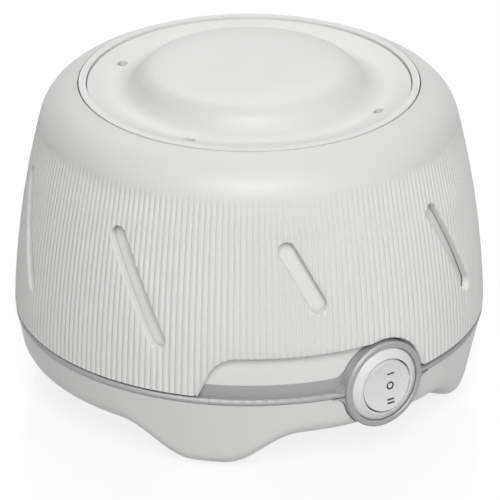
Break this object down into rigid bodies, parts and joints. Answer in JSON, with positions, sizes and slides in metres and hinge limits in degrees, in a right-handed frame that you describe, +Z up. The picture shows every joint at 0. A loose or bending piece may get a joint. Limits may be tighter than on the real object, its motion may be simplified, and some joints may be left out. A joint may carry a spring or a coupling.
{
  "type": "white noise machine",
  "caption": "Round white noise sound machine: a turning slotted collar and dome cap over a fixed drum, a footed base with a round rocker switch, and a motor-driven fan inside.",
  "frame": {"origin": "on the floor under the middle of the base", "axes": "+Z up, the switch faces -Y, the cord inlet faces +Y"},
  "size_m": [0.1466, 0.1479, 0.1059],
  "materials": {
    "white_shell": "satin",
    "grey_trim": "satin",
    "white_switch": "smooth",
    "dark_rubber": "matt",
    "plated_steel": "zinc plated",
    "core_steel": "laminated",
    "ground_steel": "ground",
    "cast_aluminium": "cast",
    "copper": "drawn",
    "enamelled_wire": "enamelled",
    "contact_brass": "bright",
    "bush_bronze": "sintered",
    "felt": "felt",
    "bobbin_nylon": "moulded",
    "fan_plastic": "moulded",
    "black_insulation": "smooth",
    "red_insulation": "smooth",
    "white_insulation": "smooth"
  },
  "bodies": {
    "base": {"sound_drum": "white_shell", "trim_ring": "grey_trim", "base_shell": "white_shell", "foot_pads": "dark_rubber", "housing_screws": "plated_steel", "motor_deck": "plated_steel", "switch_body": "white_switch", "switch_terminals": "contact_brass", "mount_grommets": "dark_rubber", "mount_spacers": "plated_steel", "motor_washers": "plated_steel", "motor_nuts": "plated_steel", "motor_screws": "plated_steel", "stator_core": "core_steel", "core_bar": "core_steel", "shading_rings": "copper", "coil_bobbin": "bobbin_nylon", "coil_winding": "enamelled_wire", "upper_bracket": "plated_steel", "lower_bracket": "plated_steel", "bearing_bushes": "bush_bronze", "oil_felts": "felt", "bearing_caps": "plated_steel", "splice_caps": "bobbin_nylon", "high_lead": "black_insulation", "low_lead": "red_insulation", "line_lead": "black_insulation", "neutral_lead": "white_insulation"},
    "collar": {"tone_collar": "white_shell"},
    "cap": {"tone_cap": "white_shell", "cap_felt": "felt", "cap_retainer": "plated_steel", "cap_screw": "plated_steel"},
    "rotor": {"rotor_core": "core_steel", "rotor_end_rings": "cast_aluminium", "rotor_spacers": "bobbin_nylon", "thrust_washers": "bobbin_nylon", "motor_shaft": "ground_steel", "fan": "fan_plastic", "fan_clip": "plated_steel"},
    "rocker": {"switch_rocker": "white_switch", "plunger": "bobbin_nylon", "plunger_spring": "plated_steel"},
    "blade": {"contact_blade": "contact_brass"}
  },
  "joints": [
    {"name": "collar_turn", "type": "hinge", "parent": "base", "child": "collar", "pos_m": [0, 0, 0.027], "axis": [0, 0, 1], "range_deg": [0, 30]},
    {"name": "cap_turn", "type": "hinge", "parent": "base", "child": "cap", "pos_m": [0, 0, 0.0958], "axis": [0, 0, 1], "range_deg": [-26, 4]},
    {"name": "rotor_spin", "type": "hinge", "parent": "base", "child": "rotor", "pos_m": [0, 0, 0.042], "axis": [0, 0, 1], "continuous": true},
    {"name": "rocker_tilt", "type": "hinge", "parent": "base", "child": "rocker", "pos_m": [0, -0.0722, 0.0257], "axis": [1, 0, 0], "range_deg": [-9, 9]},
    {"name": "blade_tilt", "type": "hinge", "parent": "base", "child": "blade", "pos_m": [0, -0.0606, 0.0257], "axis": [1, 0, 0], "range_deg": [-5, 5]}
  ],
  "couplings": [
    {"joint": "blade_tilt", "follows": "rocker_tilt", "ratio": -0.5555}
  ]
}
